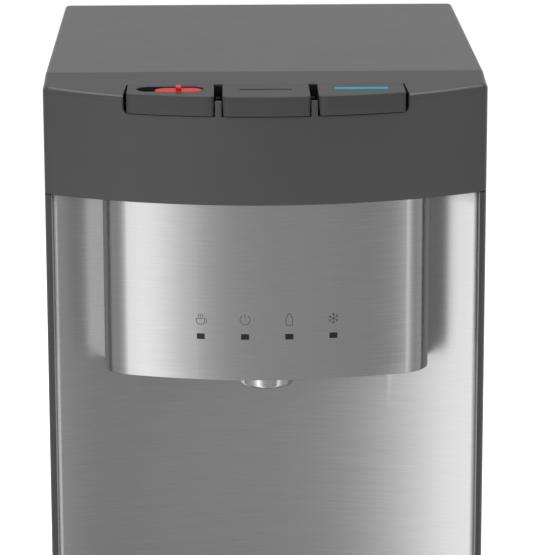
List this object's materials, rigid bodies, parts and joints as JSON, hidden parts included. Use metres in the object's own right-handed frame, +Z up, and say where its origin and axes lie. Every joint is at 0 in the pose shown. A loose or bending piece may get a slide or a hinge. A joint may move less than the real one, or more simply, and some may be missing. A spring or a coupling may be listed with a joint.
{
  "type": "countertop water dispenser",
  "caption": "Countertop water dispenser with a bowed head, hot, room and cold push buttons with a hot lock, a steel nose with a nozzle, a deep cup space and a pull-out drip tray.",
  "frame": {"origin": "on the surface the dispenser stands on, under the middle of its overall width and depth", "axes": "+Z up, -Y towards the front, +X to the dispenser's left side seen from behind, the right side of the picture"},
  "size_m": [0.31, 0.416, 0.49],
  "materials": {
    "grey_plastic": "satin moulded plastic",
    "top_plastic": "fine matt moulded plastic",
    "button_plastic": "satin moulded plastic",
    "painted_steel": "satin powder coat",
    "zinc_steel": "matt grey coat",
    "black_steel": "gloss black",
    "steel": "brushed",
    "bright_steel": "polished",
    "black_plastic": "matt",
    "rubber": "matt",
    "red_plastic": "gloss",
    "teal_plastic": "gloss",
    "green_plastic": "gloss",
    "line_print": "matt",
    "lens": "smoked",
    "board": "solder resist",
    "ivory_plastic": "matt",
    "white_plastic": "matt",
    "silicone": "milky",
    "foam": "moulded foam",
    "copper": "drawn",
    "cast_iron": "black gloss enamel",
    "mica": "mica band"
  },
  "bodies": {
    "cabinet": {"base_pan": "zinc_steel", "rubber_feet": "rubber", "side_panel_left": "painted_steel", "side_panel_right": "painted_steel", "rear_panel": "zinc_steel", "top_cover": "top_plastic", "front_fascia": "grey_plastic", "splash_panel": "steel", "base_bezel": "grey_plastic", "nose_cover": "steel", "nose_housing": "black_plastic", "nozzle_ring": "bright_steel", "nozzle_core": "black_plastic", "cold_spout_tube": "silicone", "hot_spout_tube": "silicone", "indicator_lenses": "lens", "indicator_board": "board", "button_carrier": "black_plastic", "button_shaft": "bright_steel", "hot_spring": "bright_steel", "room_spring": "bright_steel", "cold_spring": "bright_steel", "hot_switch": "black_plastic", "room_switch": "black_plastic", "cold_switch": "black_plastic", "valve_bank": "ivory_plastic", "cold_tank": "steel", "cold_insulation": "foam", "evaporator_coil": "copper", "hot_tank": "steel", "heater_band": "mica", "hot_jacket": "foam", "compressor": "cast_iron", "compressor_mounts": "rubber", "condenser_tube": "black_steel", "condenser_wires": "black_steel", "condenser_clips": "black_plastic", "filter_cartridge": "white_plastic", "filter_head": "white_plastic", "water_lines": "silicone", "control_board": "board", "power_inlet": "black_plastic", "rocker_frames": "black_plastic", "inlet_fitting": "white_plastic", "drain_cap": "white_plastic", "screws": "bright_steel"},
    "hot_button": {"hot_button": "button_plastic", "lock_track": "black_plastic"},
    "room_button": {"room_button": "button_plastic", "room_strip": "line_print"},
    "cold_button": {"cold_button": "button_plastic", "cold_strip": "teal_plastic"},
    "lock_slider": {"lock_slider": "red_plastic"},
    "hot_plunger": {"hot_plunger": "red_plastic"},
    "room_plunger": {"room_plunger": "red_plastic"},
    "cold_plunger": {"cold_plunger": "red_plastic"},
    "drip_tray": {"drip_tray": "grey_plastic"},
    "drip_grille": {"drip_grille": "steel"},
    "power_rocker": {"power_rocker": "green_plastic"},
    "heat_rocker": {"heat_rocker": "red_plastic"}
  },
  "joints": [
    {"name": "hot_press", "type": "hinge", "parent": "cabinet", "child": "hot_button", "pos_m": [-0.06595, -0.161, 0.474], "axis": [1, 0, 0], "range_deg": [0, 6], "stiffness_Nm_per_rad": 0.5, "springref_deg": -5.73, "deforming": ["hot_spring"]},
    {"name": "room_press", "type": "hinge", "parent": "cabinet", "child": "room_button", "pos_m": [0, -0.161, 0.474], "axis": [1, 0, 0], "range_deg": [0, 6], "stiffness_Nm_per_rad": 0.5, "springref_deg": -5.73, "deforming": ["room_spring"]},
    {"name": "cold_press", "type": "hinge", "parent": "cabinet", "child": "cold_button", "pos_m": [0.06595, -0.161, 0.474], "axis": [1, 0, 0], "range_deg": [0, 6], "stiffness_Nm_per_rad": 0.5, "springref_deg": -5.73, "deforming": ["cold_spring"]},
    {"name": "hot_plunge", "type": "slide", "parent": "cabinet", "child": "hot_plunger", "axis": [0, 0, -1], "range_m": [0, 0.002]},
    {"name": "room_plunge", "type": "slide", "parent": "cabinet", "child": "room_plunger", "axis": [0, 0, -1], "range_m": [0, 0.002]},
    {"name": "cold_plunge", "type": "slide", "parent": "cabinet", "child": "cold_plunger", "axis": [0, 0, -1], "range_m": [0, 0.002]},
    {"name": "lock_slide", "type": "slide", "parent": "hot_button", "child": "lock_slider", "axis": [-1, 0, 0], "range_m": [0, 0.0105], "stiffness_N_per_m": 60, "springref_m": -0.01},
    {"name": "tray_slide", "type": "slide", "parent": "cabinet", "child": "drip_tray", "axis": [0, -1, 0], "range_m": [0, 0.075]},
    {"name": "grille_lift", "type": "slide", "parent": "drip_tray", "child": "drip_grille", "axis": [0, 0, 1], "range_m": [0, 0.04]},
    {"name": "power_switch", "type": "hinge", "parent": "cabinet", "child": "power_rocker", "pos_m": [0.088, 0.185, 0.402], "axis": [1, 0, 0], "range_deg": [-16, 0]},
    {"name": "heat_switch", "type": "hinge", "parent": "cabinet", "child": "heat_rocker", "pos_m": [0.088, 0.185, 0.432], "axis": [1, 0, 0], "range_deg": [-16, 0]}
  ],
  "couplings": [
    {"joint": "hot_plunge", "follows": "hot_press", "m_per_rad": 0.018},
    {"joint": "room_plunge", "follows": "room_press", "m_per_rad": 0.018},
    {"joint": "cold_plunge", "follows": "cold_press", "m_per_rad": 0.018}
  ]
}
